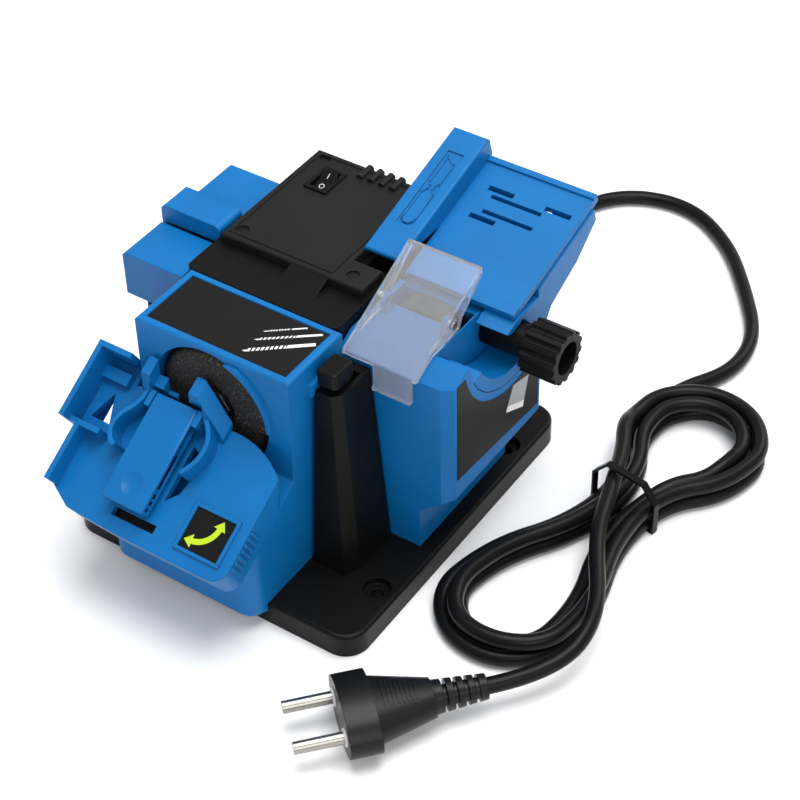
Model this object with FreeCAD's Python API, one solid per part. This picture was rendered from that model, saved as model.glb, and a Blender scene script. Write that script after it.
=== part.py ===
"""Multi-purpose bench sharpener: drill head in front, knife slots at the left, chisel table at the right.

Millimetres, +Z up, +X to the chisel table, -Y to the drill head. The origin is the middle of
the base plate's underside, on the bench. Every piece is one node in parts/.
"""
import FreeCAD, Part
import math
import os

V = FreeCAD.Vector

# Base plate
base_w = 135.0
base_d = 150.0
base_t = 10.5
base_corner_r = 10.0
base_edge_r = 1.5
base_rim = 5.0
base_skin = 3.5
bolt_inset_x = 8.5
bolt_inset_y = 28.5
bolt_hole_r = 2.5
bolt_sink_r = 5.5
bolt_sink_depth = 3.0
pad_r = 7.0
pad_t = 3.0
pad_inset = 22.0

# Spindles: the motor shaft carries the drill wheel, two belts drive the outer spindles
axis_x = -7.0
axis_z = 77.0
shaft_r = 4.0
wheel_r = 24.0
wheel_rim_r = 3.5
nut_r = 7.0
nut_t = 4.0
nut_recess_r = 9.5
knife_axis_x = -57.5
knife_wheel_r = 11.0
chisel_axis_x = 43.9
chisel_wheel_r = 15.0
small_recess_r = 7.6
small_rim_r = 2.0
pulley_r = 8.0
pulley_flange_r = 10.5
pulley_flange_t = 1.0
belt_w = 4.0
belt_t = 2.0
belt_gap = 0.3
belt_side = 0.5
belt_knife_y = -11.5
belt_chisel_y = -4.5
run_gap = 0.05
shaft_gap = 1.0
spindle_gap = 0.6
bearing_r = 8.0
bearing_w = 5.0

# Drill station
wall = 2.5
top_edge_r = 1.2
drill_x0 = -40.0
drill_x1 = 29.0
drill_y0 = -54.0
drill_y1 = -20.3
drill_top = 104.5
drill_nose_over = 8.0
drill_nose_z = 6.0
drill_nose_r = 7.0
drill_lip_r = 3.0
drill_base_gap = 0.3
drill_hollow_drop = 18.0
drill_wheel_y = -53.0
drill_wheel_t = 12.0
drill_recess_gap = 1.8
drill_recess_lead = 14.0
drill_recess_back = 1.5
drill_collar_t = 2.2
drill_collar_h = 1.6
label_rim = 3.0
label_sink = 0.6
point_half_angle = 59.0
head_slope = 90.0 - point_half_angle
head_y = -64.5
head_z = 67.2
head_right = 30.2
head_front = -43.5
head_left = -52.0
head_box_left = -57.0
head_box_front = -14.0
head_box_back = 18.0
head_floor_t = 3.0
head_skirt = 13.5
head_skin = 0.8
head_wall = 2.2
head_gap = 0.4
head_face_y = -56.2
head_pivot_u = 5.8
head_pivot_w = -27.5
head_pivot_r = 4.0
head_pin_seat = 4.0
head_turn_r = 13.0
head_corner_r = 6.0
head_sweep_r = 37.2
grip_ribs = 7
grip_pitch = 2.4
grip_rib_w = 1.2
head_box_h = 13.0
head_rail_h = 8.0
head_mid_u = -41.5
head_low_w = -37.0
jaw_h = 15.5
jaw_len = 5.5
jaw_over = 0.6
lever_u0 = -27.0
lever_u1 = -8.0
lever_w0 = -33.5
lever_w1 = 9.5
lever_bottom = 2.6
lever_top = 8.6
lever_wall = 1.6
lever_pin_r = 1.5
lever_pin_w = 6.5
lever_pin_h = 5.6
lever_ear = 2.4
lever_ear_w0 = 3.2
lever_ear_w1 = 9.6
lever_gap = 0.3

# Motor housing
motor_x0 = -43.0
motor_x1 = 26.0
motor_y0 = -20.0
motor_y1 = 66.0
motor_top = 104.0
motor_corner_r = 3.0
vent_count = 6
vent_z = 45.0
vent_pitch = 6.0
vent_h = 2.5
vent_x0 = -30.0
vent_x1 = 0.0
cover_x0 = -41.0
cover_x1 = 24.0
cover_y0 = -0.5
cover_y1 = 64.0
cover_t = 4.0
cover_lip = 2.0
cover_screw_r = 2.6
cover_screw_skin = 1.0
cover_screw_sink = 0.6
cover_step_x = 11.0
cover_step_y = 13.5
notch_x = 14.0
notch_y = 17.0
notch_depth = 7.0
notch_top = motor_top - notch_depth
stator_r = 24.0
stator_y0 = 10.0
stator_y1 = 40.0
stator_bore_r = 14.0
air_gap = 0.4
coil_r = 20.0
coil_t = 7.0
bracket_t = 3.0
bracket_space = 1.0
bracket_head = 6.0
cradle_w = 24.0
cradle_drop = 4.0
bracket_w = 46.0
switch_x = -26.3
switch_y = 47.5
switch_w = 10.4
switch_l = 15.0
switch_rim = 1.6
switch_depth = 10.0
switch_floor = 2.0
switch_lip = 0.8
rocker_gap = 1.3
rocker_pin_r = 1.0
rocker_pin_h = 1.0

# Knife station
knife_x0 = -72.0
knife_y0 = -22.8
knife_y1 = 44.5
knife_top = 100.5
knife_bottom = 80.5
knife_wheel_y = 3.0
knife_wheel_t = 11.0
knife_slot = 3.0
knife_roof_top = 108.0
knife_roof_t = 2.6
knife_leg_t = 2.4
knife_tub_bottom = 60.0

# Chisel station
chisel_x0 = 26.5
chisel_x1 = 75.5
chisel_y0 = -19.5
chisel_y1 = 42.5
chisel_drop = 4.5
chisel_top = motor_top - chisel_drop
chisel_axis_drop = 12.9
chisel_axis_z = chisel_top - chisel_axis_drop
chisel_cheek_x = 61.3
chisel_low_x = 60.7
chisel_low_z = 30.6
chisel_step_z = 42.0
chisel_wheel_y = 8.3
chisel_wheel_t = 10.0
chisel_bearing_gap = 1.3
chisel_bevel_y = -11.5
chisel_bevel_h = 4.1
chisel_bevel_z = chisel_top - chisel_bevel_h
tilt_y = 22.8
tilt_rise = 4.4
tilt_z = chisel_top + tilt_rise
tilt_r = 30.5
tilt_gap = 0.4
kidney_in = 8.6
kidney_out = 25.5
kidney_from = 205.0
kidney_to = 312.0
table_slope = 15.6
table_y = 23.0
table_rise = 2.7
table_z = chisel_top + table_rise
table_len = 62.0
table_t = 3.0
table_right = 74.8
table_left = 27.5
fence_w = 16.0
fence_h = 9.0
slide_gap = 0.4
rail_x0 = 30.0
rail_y = 30.0
rail_w = 18.0
rail_t = 4.0
hook_x0 = 32.0
hook_x1 = 51.0
hook_t = 2.4
hook_lip = 3.0
hook_lip_t = 1.8
knob_y = 26.5
knob_drop = 10.5
knob_z = chisel_top - knob_drop
knob_r = 10.7
knob_flutes = 14
knob_flute_r = 1.5
knob_dish = 7.0
knob_x0 = 81.0
knob_x1 = 96.0
stem_r = 6.5
screw_r = 3.0
screw_in = 8.0
screw_out = 6.0
guard_x0 = 29.4
guard_x1 = 61.3
guard_wall = 1.5
guard_flange_drop = 14.5
guard_flange_z = chisel_top - guard_flange_drop
guard_pivot_y = 4.5
guard_pivot_rise = 5.0
guard_pivot_z = chisel_top + guard_pivot_rise
guard_pin_r = 1.6
lug_t = 2.2
lug_r = 2.6
lug_gap = 0.4
guard_front_y = -21.4
guard_front_drop = 1.7
guard_front_z = chisel_top - guard_front_drop
guard_back_y = 23.0
guard_back_rise = 19.7
guard_back_z = chisel_top + guard_back_rise

# Release post between the stations
post_x0 = 31.0
post_x1 = 41.0
post_y0 = -41.0
post_top = 93.0
post_spread = 7.0
button_travel = 3.0
button_t = 7.0
button_back = -28.8

# Mains lead
cord_d = 6.4
cord_r = cord_d / 2
gland_x = -8.0
gland_z = 24.0
gland_len = 26.0
gland_r0 = 6.0
gland_r1 = 4.4
gland_slots = 5
gland_pitch = 4.0
gland_slot_w = 1.6
hank_origin = V(113.0, 46.0, 0.0)
hank_lean = 8.8
hank_step = 7.05
floor_gap = 0.2
hank_end_s = -6.0
hank_end_t = -2.0
hank_end_heading = (-0.9, 0.436)
hank_layer = 7.0
hank_lobe = 26.2
hank_near = 68.0
hank_far = 47.0
hank_waist = 3.6
tie_w = 3.0
tie_t = 1.0
tie_gap = 0.6
tie_top = 8.5
tie_s = 1.0
plug_dir = V(-0.67, -0.745, 0.0)
plug_start = V(119.0, -65.0, 11.0)
plug_grip = 20.0
plug_body_len = 34.0
plug_flange_at = 22.0
plug_flange_half_w = 18.0
plug_flange_half_h = 10.8
plug_pin_in = 8.0
plug_pin_r = 2.4
plug_pin_len = 19.0
plug_pin_pitch = 19.0

# Cutting tools reach past the part by this much
beyond = 400.0

os.makedirs("parts", exist_ok=True)
nodes = {}


def box(x0, x1, y0, y1, z0, z1):
    return Part.makeBox(x1 - x0, y1 - y0, z1 - z0, V(x0, y0, z0))


def cyl_y(r, y0, y1, x, z):
    return Part.makeCylinder(r, y1 - y0, V(x, y0, z), V(0, 1, 0))


def cyl_x(r, x0, x1, y, z):
    return Part.makeCylinder(r, x1 - x0, V(x0, y, z), V(1, 0, 0))


def cyl_z(r, z0, z1, x, y):
    return Part.makeCylinder(r, z1 - z0, V(x, y, z0), V(0, 0, 1))


def prism(points, direction):
    """Closed outline of points pushed along a direction."""
    return Part.Face(Part.makePolygon(points + [points[0]])).extrude(direction)


def prism_x(outline, x0, x1):
    return prism([V(x0, y, z) for y, z in outline], V(x1 - x0, 0, 0))


def prism_z(outline, z0, z1):
    return prism([V(x, y, z0) for x, y in outline], V(0, 0, z1 - z0))


def round_plate(x0, x1, y0, y1, z0, z1, r):
    """Plate with rounded upright corners."""
    plate = box(x0, x1, y0, y1, z0, z1)
    upright = [e for e in plate.Edges if abs(e.tangentAt(e.FirstParameter).z) > 0.99]
    return plate.makeFillet(r, upright)


def fuse(shapes):
    return shapes[0].multiFuse(shapes[1:]).removeSplitter()


def cut(shape, *tools):
    return shape.cut(list(tools)).removeSplitter()


def fillet_where(shape, r, test):
    edges = [e for e in shape.Edges if test(e)]
    return shape.makeFillet(r, edges) if edges else shape


def save(name, shape):
    solids = shape.Solids
    nodes[name] = solids[0] if len(solids) == 1 else Part.makeCompound(solids)
    if not nodes[name].isValid() or not solids:
        raise ValueError("bad solid " + name)
    nodes[name].exportStep("parts/" + name + ".step")
    print(name, len(solids), round(sum(s.Volume for s in solids)))


# Base plate with bench holes, ribs below and soft pads
half_w = base_w / 2
half_d = base_d / 2
corners = [(sx, sy) for sx in (-1, 1) for sy in (-1, 1)]
bolt_points = [(sx * (half_w - bolt_inset_x), sy * (half_d - bolt_inset_y)) for sx, sy in corners]
pad_points = [(sx * (half_w - pad_inset), sy * (half_d - base_corner_r)) for sx, sy in corners]


def make_base():
    plate = round_plate(-half_w, half_w, -half_d, half_d, 0, base_t, base_corner_r)
    plate = fillet_where(plate, base_edge_r, lambda e: e.BoundBox.ZMin > base_t - 0.01)
    hollow_z = base_t - base_skin
    for sx in (-1, 1):
        inner = sorted((sx * base_rim, sx * (half_w - pad_inset - pad_r - base_rim)))
        for sy in (-1, 1):
            side = sorted((sy * base_rim, sy * (half_d - base_rim)))
            plate = plate.cut(box(inner[0], inner[1], side[0], side[1], 0, hollow_z))
    for x, y in bolt_points:
        plate = plate.cut(cyl_z(bolt_hole_r, 0, base_t, x, y))
        plate = plate.cut(cyl_z(bolt_sink_r, base_t - bolt_sink_depth, base_t, x, y))
    for x, y in pad_points:
        plate = plate.cut(cyl_z(pad_r, 0, pad_t, x, y))
    save("base_plate", plate)
    save("bench_pads", Part.makeCompound([cyl_z(pad_r, 0, pad_t, x, y) for x, y in pad_points]))


# Slope of the drill head: local u along X, w up the slope, h square to it
slope = math.radians(head_slope)
head_place = FreeCAD.Placement(V(0, head_y, head_z), FreeCAD.Rotation(V(1, 0, 0), head_slope))


def on_slope(shape):
    out = shape.copy()
    out.Placement = head_place.multiply(out.Placement)
    return out


def slope_point(u, w, h):
    return head_place.multVec(V(u, w, h))


drill_nose_y = -half_d - drill_nose_over


def make_drill_housing():
    bed = -head_skirt - head_gap
    step = slope_point(0, (drill_y0 - head_y + bed * math.sin(slope)) / math.cos(slope), bed)
    lip = slope_point(0, (drill_nose_y - head_y + bed * math.sin(slope)) / math.cos(slope), bed)
    front = -half_d - drill_base_gap
    outline = [(drill_y1, base_t), (front, base_t), (front, drill_nose_z),
               (drill_nose_y, drill_nose_z), (drill_nose_y, lip.z), (drill_y0, step.z),
               (drill_y0, drill_top), (drill_y1, drill_top)]
    body = prism_x(outline, drill_x0, drill_x1)
    body = fillet_where(body, drill_nose_r, lambda e: e.BoundBox.YMax < drill_nose_y + 0.01
                        and e.BoundBox.ZLength > 5)
    body = fillet_where(body, drill_lip_r, lambda e: e.BoundBox.YMax < drill_nose_y + 8
                        and e.BoundBox.ZMax < drill_nose_z + 0.01)
    body = fillet_where(body, top_edge_r, lambda e: e.BoundBox.ZMin > drill_top - 0.01)
    rim = label_rim
    body = body.cut(box(drill_x0 + rim, drill_x1 - rim, drill_y0 + rim, drill_y1 - rim,
                        drill_top - label_sink, drill_top))
    recess = wheel_r + drill_recess_gap
    back = drill_wheel_y + drill_wheel_t + drill_recess_back
    collar = cyl_y(recess + drill_collar_t, drill_y0 - drill_collar_h, drill_y0, axis_x, axis_z)
    collar = collar.common(box(axis_x, drill_x1, drill_y0 - drill_collar_h, drill_y0,
                               axis_z, drill_top - label_rim))
    body = fuse([body, collar])
    body = body.cut(cyl_y(recess, drill_y0 - drill_recess_lead, back, axis_x, axis_z))
    body = body.cut(cyl_y(shaft_r + shaft_gap, back, drill_y1, axis_x, axis_z))
    body = body.cut(box(drill_x0 + wall, drill_x1 - wall, -half_d + wall, drill_y1,
                        base_t, step.z - drill_hollow_drop))
    turn = Part.makeCylinder(head_turn_r, head_skirt - head_floor_t - head_gap,
                             V(head_pivot_u, head_pivot_w, bed), V(0, 0, 1))
    boss = on_slope(turn)
    pin_hole = on_slope(Part.makeCylinder(head_pivot_r - run_gap, head_skirt + head_pin_seat,
                                          V(head_pivot_u, head_pivot_w, bed - head_pin_seat)))
    clip = box(drill_x1, drill_x1 + 2, post_y0 - 2, post_y0 + 4, post_top - 2, post_top + 3)
    body = fuse([body, boss, clip]).cut(pin_hole)
    save("drill_housing", body)


def head_outline():
    """Top outline of the swivel head, its rear right edge an arc about the pivot."""
    arc_r = head_sweep_r - 0.5
    a0 = math.acos((head_right - head_pivot_u) / arc_r)
    a1 = math.radians(100)
    def at(a):
        return V(head_pivot_u + arc_r * math.cos(a), head_pivot_w + arc_r * math.sin(a), 0)
    arc = Part.Arc(at(a0), at((a0 + a1) / 2), at(a1)).toShape()
    corner = head_corner_r
    points = [at(a1), V(-34, at(a1).y, 0), V(head_mid_u, 13, 0), V(head_mid_u, head_box_back, 0),
              V(head_box_left, head_box_back, 0), V(head_box_left, head_box_front, 0),
              V(head_left, head_box_front - 3, 0), V(head_left, head_low_w, 0), V(-42, head_front + 1, 0),
              V(-20, head_front, 0), V(head_right - corner, head_front, 0)]
    q = corner * (1 - math.sqrt(0.5))
    turn = Part.Arc(V(head_right - corner, head_front, 0), V(head_right - q, head_front + q, 0),
                    V(head_right, head_front + corner, 0)).toShape()
    lines = [Part.makeLine(a, b) for a, b in zip(points, points[1:])]
    side = Part.makeLine(V(head_right, head_front + corner, 0), at(a0))
    return Part.Wire([arc] + lines + [turn, side])


def make_head():
    face = Part.Face(head_outline())
    slab = face.extrude(V(0, 0, -head_skirt))
    core = face.makeOffset2D(-head_wall)
    core.translate(V(0, 0, -head_skirt))
    slab = slab.cut(core.extrude(V(0, 0, head_skirt - head_floor_t)))
    cone_low = head_sweep_r - head_skirt * math.tan(slope)
    cone = Part.makeCone(cone_low, head_sweep_r, head_skirt, V(head_pivot_u, head_pivot_w, -head_skirt))
    far = box(head_pivot_u, beyond, -beyond, beyond, -beyond, beyond)
    slab = slab.cut(far.cut(cone))
    walls = [
        box(head_box_left, head_box_left + head_wall, head_box_front, head_box_back, 0, head_box_h),
        box(head_box_left, head_mid_u, head_box_back - head_wall, head_box_back, 0, head_box_h),
        box(head_box_left, -41, head_box_front, head_box_front + head_wall, 0, head_rail_h),
        box(head_left, head_left + head_wall, head_low_w, head_box_front, 0, head_rail_h),
        box(head_box_left + head_wall, -43, 7, 12, 0, 3.5),
        box(lever_u0 - lever_gap - lever_ear, lever_u0 - lever_gap, lever_ear_w0, lever_ear_w1, 0, lever_top),
        box(lever_u1 + lever_gap, lever_u1 + lever_gap + lever_ear, lever_ear_w0, lever_ear_w1, 0, lever_top),
    ]
    for i in range(grip_ribs):
        w = -36.5 + grip_pitch * i
        walls.append(box(head_right - 0.6, head_right + 0.7, w, w + grip_rib_w, -8.5, -1.2))
    ring = box(5.6, 26.0, -38.4, -19.6, 0, 1.0).cut(box(7.0, 24.6, -37.0, -21.0, 0, 1.0))
    s_curve = wall_strip([V(-35, 14, 0), V(-31.5, 4, 0), V(-36.5, -5, 0), V(-32, -15, 0)], 1.8, 9.0)
    shield = wall_strip([V(-4.6, 8.5, 0), V(1.5, 0, 0), V(-2.5, -14, 0)], 1.8, 8.0)
    head = fuse([slab] + walls + [ring, s_curve, shield])
    pin_hole = Part.makeCylinder(head_pivot_r, head_floor_t,
                                 V(head_pivot_u, head_pivot_w, -head_floor_t - head_skin))
    vee = prism_z([(-47.7, 3.5), (-52.3, -8), (-43.4, -8)], -head_floor_t, 0.1)
    slot = box(-24, -4.5, -37.5, -34.2, -head_floor_t, 0.1)
    well = prism_z([(-7, -25), (-2.5, -20), (-1, -12), (-2.5, -4), (-7, -2)], -head_floor_t, 0.1)
    pin_u0 = lever_u0 - lever_gap - lever_ear
    pin_u1 = lever_u1 + lever_gap + lever_ear
    pin = cyl_x(lever_pin_r, pin_u0, pin_u1, lever_pin_w, lever_pin_h)
    head = cut(head, vee, slot, well, pin, pin_hole)
    pivot = Part.makeCylinder(head_pivot_r - run_gap, head_skirt - head_skin - run_gap,
                              V(head_pivot_u, head_pivot_w, -head_skirt))
    save("head_pivot", on_slope(pivot))
    save("lever_pin", on_slope(pin))
    left = prism([V(-33, 3, 0), V(-21, 3, 0), V(-21, 3, 4), V(-25, 3, 4), V(-25, 3, 9),
                  V(-29, 3, 9), V(-29, 3, jaw_h), V(-33, 3, jaw_h)], V(0, 26, 0))
    right = prism([V(-11, 3, 0), V(3.5, 3, 0), V(3.5, 3, 2), V(-7, 3, jaw_h), V(-11, 3, jaw_h),
                   V(-11, 3, 9), V(-13, 3, 9), V(-13, 3, 4), V(-11, 3, 4)], V(0, 26, 0))
    keep = box(-beyond, beyond, head_face_y - jaw_len, head_face_y + jaw_over, 0, beyond)
    lever_room = box(pin_u0, pin_u1, -beyond, lever_w1 + 1.5, 0, beyond)
    jaws = [on_slope(j.cut(lever_room)).common(keep) for j in (left, right)]
    jaws = Part.makeCompound([s for j in jaws for s in j.Solids])
    save("drill_jaws", jaws)
    head = on_slope(head).cut([box(-41.2, beyond, head_face_y, beyond, 0, beyond), jaws])
    save("swivel_head", max(head.removeSplitter().Solids, key=lambda solid: solid.Volume))
    lever = box(lever_u0, lever_u1, lever_w0, lever_w1, lever_bottom, lever_top)
    lever = lever.makeFillet(1.0, [e for e in lever.Edges if e.BoundBox.ZMin > lever_top - 0.01])
    lever = lever.cut(box(lever_u0 + lever_wall, lever_u1 - lever_wall, lever_w0 + lever_wall, 2,
                          lever_bottom, lever_top - lever_wall))
    for w0, w1 in ((-32.0, -30.2), (-29.2, -27.4), (-26.4, -24.6), (-22.5, -8.5)):
        lever = lever.cut(box(lever_u1 - lever_wall, lever_u1, w0, w1, 3.6, 6.6))
    bore = cyl_x(lever_pin_r + run_gap, lever_u0, lever_u1, lever_pin_w, lever_pin_h)
    save("clamp_lever", on_slope(lever.cut(bore)))


def wall_strip(points, thick, height):
    """Thin upright wall along a smooth curve through the points."""
    curve = Part.BSplineCurve()
    curve.interpolate(points)
    def side(sign):
        rail = Part.BSplineCurve()
        offsets = []
        for i in range(7):
            t = curve.FirstParameter + (curve.LastParameter - curve.FirstParameter) * i / 6
            normal = curve.tangent(t)[0].cross(V(0, 0, 1))
            offsets.append(curve.value(t) + normal * (sign * thick / 2))
        rail.interpolate(offsets)
        return rail.toShape(), offsets
    a, pa = side(1)
    b, pb = side(-1)
    wire = Part.Wire([a, Part.makeLine(pa[-1], pb[-1]), b, Part.makeLine(pb[0], pa[0])])
    return Part.Face(wire).extrude(V(0, 0, height))


def make_motor_housing():
    outer = box(motor_x0, motor_x1, motor_y0, motor_y1, base_t, motor_top)
    outer = fillet_where(outer, motor_corner_r, lambda e: e.BoundBox.ZLength > 50)
    inner = box(motor_x0 + wall, motor_x1 - wall, motor_y0 + wall, motor_y1 - wall, base_t, motor_top - wall)
    notch_wall = box(notch_x - wall, motor_x1, notch_y - wall, motor_y1, notch_top - wall, motor_top)
    shell = outer.cut(inner.cut(notch_wall))
    shell = shell.cut(box(notch_x, motor_x1, notch_y, motor_y1, notch_top, motor_top))
    lip = cover_lip
    shell = shell.cut(box(cover_x0 + lip, notch_x - lip - wall, cover_y0 + lip, cover_y1 - lip,
                          motor_top - wall, motor_top))
    belt_h = pulley_flange_r + 1.5
    for y, x0, x1, top in ((belt_knife_y, motor_x0, 0, axis_z), (belt_chisel_y, 0, motor_x1, chisel_axis_z)):
        shell = shell.cut(box(x0, x1, y - belt_w, y + belt_w, axis_z - belt_h, top + belt_h))
    shell = shell.cut(cyl_y(shaft_r + shaft_gap, motor_y0, motor_y0 + wall, axis_x, axis_z))
    shell = shell.cut(cyl_y(gland_r0, motor_y1 - wall, motor_y1, gland_x, gland_z))
    for i in range(vent_count):
        z = vent_z + vent_pitch * i
        shell = shell.cut(box(vent_x0, vent_x1, motor_y1 - wall, motor_y1, z, z + vent_h))
    ramp = prism_x([(cover_y0 - 9, motor_top), (cover_y0, motor_top), (cover_y0, motor_top + 3.6)], -8, 9)
    save("motor_housing", fuse([shell, ramp]))
    outline = [(cover_x0, cover_y0), (cover_x1, cover_y0), (cover_x1, cover_step_y),
               (cover_step_x, cover_step_y), (cover_step_x, cover_y1), (cover_x0, cover_y1)]
    top = motor_top + cover_t
    cover = prism_z(outline, motor_top, top)
    cover = fillet_where(cover, top_edge_r, lambda e: e.BoundBox.ZMin > top - 0.01)
    for i in range(4):
        cover = cover.fuse(cyl_y(1.6, cover_y1 - 8, cover_y1, -16 + 5 * i, top))
    sx, sy = switch_x, switch_y
    w, l = switch_w / 2, switch_l / 2
    cover = cover.cut(box(sx - w, sx + w, sy - l, sy + l, motor_top, top))
    screws = [(cover_x0 + 6, cover_y1 - 4), (cover_x0 + 6, cover_y0 + 6),
              (cover_step_x - 3, cover_y1 - 4), (cover_x1 - 8, cover_y0 + 6)]
    screw_z = motor_top + cover_screw_skin
    holes = [cyl_z(cover_screw_r, screw_z, top, x, y) for x, y in screws]
    save("top_cover", cut(cover, *holes))
    heads = [cyl_z(cover_screw_r, screw_z, top - cover_screw_sink, x, y) for x, y in screws]
    save("cover_screws", Part.makeCompound(heads))
    frame = box(sx - w, sx + w, sy - l, sy + l, motor_top - switch_depth, top + switch_lip)
    room = box(sx - w + switch_rim, sx + w - switch_rim, sy - l + switch_rim, sy + l - switch_rim,
               motor_top - switch_depth + switch_floor, top + switch_lip)
    axle = cyl_x(rocker_pin_r, sx - w + switch_rim / 2, sx + w - switch_rim / 2, sy, motor_top + rocker_pin_h)
    bore = cyl_x(rocker_pin_r + run_gap, sx - w + switch_rim / 2 - run_gap, sx + w - switch_rim / 2 + run_gap,
                 sy, motor_top + rocker_pin_h)
    save("switch_frame", frame.cut([room, bore]))
    gap = switch_rim + rocker_gap
    rock = prism_x([(sy - l + gap, top - 1.4), (sy, top - 0.4), (sy + l - gap, top + 2.0),
                    (sy + l - gap - 0.4, top - 4), (sy, top - 6.0), (sy - l + gap + 0.6, top - 5)],
                   sx - w + gap, sx + w - gap)
    save("power_rocker", fuse([rock, axle]))


def make_knife():
    right = motor_x0 - 0.1
    slot0 = knife_wheel_y - knife_slot
    slot1 = knife_wheel_y + knife_wheel_t + knife_slot
    x = knife_axis_x
    body = box(knife_x0, right, knife_y0, knife_y1, knife_bottom, knife_top)
    tub = box(knife_x0 + 1.5, right, slot0 - 14, slot1 + 10, knife_tub_bottom, knife_bottom)
    body = fillet_where(body, 2.0, lambda e: e.BoundBox.XMax < knife_x0 + 0.01
                        and e.BoundBox.ZMin > knife_bottom)
    body = fuse([body, tub])
    body = body.cut(box(knife_x0, right, slot0, slot1, axis_z + 12, knife_top))
    body = body.cut(box(knife_x0 + wall + 1, right - wall, slot0, slot1, knife_tub_bottom + 2, axis_z + 12.1))
    body = body.cut(box(knife_x0 + wall, right, belt_knife_y - belt_w, belt_knife_y + belt_w,
                        axis_z - pulley_flange_r - 1.5, axis_z + pulley_flange_r + 1.5))
    body = body.cut(cyl_y(shaft_r + spindle_gap, knife_y0 + 4, slot1 + 9, x, axis_z))
    for y in (slot0 - bearing_w, slot1):
        body = body.cut(cyl_y(bearing_r, y, y + bearing_w, x, axis_z))
    save("knife_housing", body)
    roof_y0, roof_y1 = knife_wheel_y - 1.6, knife_wheel_y + knife_wheel_t + 1.6
    roof = box(knife_x0 + 0.5, right, roof_y0, roof_y1, knife_top, knife_roof_top)
    roof = fillet_where(roof, 2.5, lambda e: e.BoundBox.ZMin > knife_roof_top - 0.01
                        and e.BoundBox.YLength > 5)
    inner = box(knife_x0 + 3, right - wall, knife_wheel_y - 0.5, knife_wheel_y + knife_wheel_t + 0.5,
                knife_top, knife_roof_top - knife_roof_t)
    legs = [box(a, a + knife_leg_t, roof_y0, roof_y1, axis_z + 12, knife_top)
            for a in (knife_x0 + 0.5, right - knife_leg_t)]
    save("knife_roof", fuse([roof.cut(inner)] + legs))


def make_chisel_housing():
    x, z = chisel_axis_x, chisel_axis_z
    main = [(chisel_x0, base_t), (chisel_low_x, base_t), (chisel_low_x, chisel_low_z),
            (chisel_x1, chisel_step_z), (chisel_x1, chisel_top), (chisel_x0, chisel_top)]
    body = prism([V(a, chisel_y0, z) for a, z in main], V(0, chisel_y1 - chisel_y0, 0))
    bevel = [(chisel_y0, chisel_bevel_z), (chisel_bevel_y, chisel_top), (chisel_y0, chisel_top)]
    body = body.cut(prism_x(bevel, chisel_x0, chisel_x1))
    corner = 5.0
    body = body.cut(prism_z([(chisel_x1, chisel_y0), (chisel_x1 - corner, chisel_y0),
                             (chisel_x1, chisel_y0 + 2)], chisel_step_z - 12, chisel_top))
    body = body.cut(cyl_x(tilt_r + tilt_gap, chisel_cheek_x, chisel_x1, tilt_y, tilt_z))
    body = body.cut(prism_x([(30.0, 75.0), (chisel_y1, 58.3), (chisel_y1, 140), (30, 140)],
                            chisel_cheek_x, chisel_x1))
    body = body.cut(box(chisel_x0, chisel_x1, tilt_y - 1.5, chisel_y1, notch_top, chisel_top))
    cav = box(chisel_x0 + wall, chisel_cheek_x - wall, chisel_y0 + wall, chisel_y1 - wall,
              base_t, notch_top - wall)
    ribs = [box(chisel_x0, chisel_cheek_x, y, y + bearing_w, base_t, chisel_top - 1)
            for y in (chisel_y0 + wall, chisel_wheel_y - bearing_w - chisel_bearing_gap)]
    pulley_room = box(chisel_x0 + wall, chisel_cheek_x - wall, chisel_y0 + wall, chisel_wheel_y - wall,
                      base_t, chisel_top - 2)
    body = body.cut([cav.cut(ribs), pulley_room.cut(ribs)])
    slot_y0, slot_y1 = chisel_wheel_y - 0.6, tilt_y - 1.5
    body = body.cut(box(chisel_x0 + wall, chisel_cheek_x - 0.6, slot_y0, slot_y1,
                        notch_top - wall, chisel_top))
    body = body.cut(box(chisel_x0, chisel_x0 + wall, belt_chisel_y - belt_w, belt_chisel_y + belt_w,
                        axis_z - pulley_flange_r - 1.5, z + pulley_flange_r))
    body = body.cut(cyl_y(chisel_wheel_r + 0.5, chisel_wheel_y - 0.6, tilt_y - 1.5, x, z))
    body = body.cut(cyl_y(shaft_r + spindle_gap, chisel_y0 + wall, chisel_wheel_y, x, z))
    for y in (chisel_y0 + wall, chisel_wheel_y - bearing_w - chisel_bearing_gap):
        body = body.cut(cyl_y(bearing_r, y, y + bearing_w, x, z))
    lugs = []
    for side in (guard_x0 + guard_wall + lug_gap, guard_x1 - guard_wall - lug_gap - lug_t):
        lug = box(side, side + lug_t, guard_pivot_y - 3, guard_pivot_y + lug_r, chisel_top, guard_pivot_z)
        lugs += [lug, cyl_x(lug_r, side, side + lug_t, guard_pivot_y, guard_pivot_z)]
    body = fuse([body] + lugs)
    body = body.cut(cyl_x(guard_pin_r, guard_x0, guard_x1, guard_pivot_y, guard_pivot_z))
    body = body.cut(cyl_x(screw_r, chisel_cheek_x - wall - screw_in, chisel_cheek_x, knob_y, knob_z))
    save("chisel_housing", body)
    pin_len = guard_wall + lug_gap + lug_t
    save("guard_pins", Part.makeCompound([
        cyl_x(guard_pin_r, guard_x0, guard_x0 + pin_len, guard_pivot_y, guard_pivot_z),
        cyl_x(guard_pin_r, guard_x1 - pin_len, guard_x1, guard_pivot_y, guard_pivot_z)]))


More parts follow.
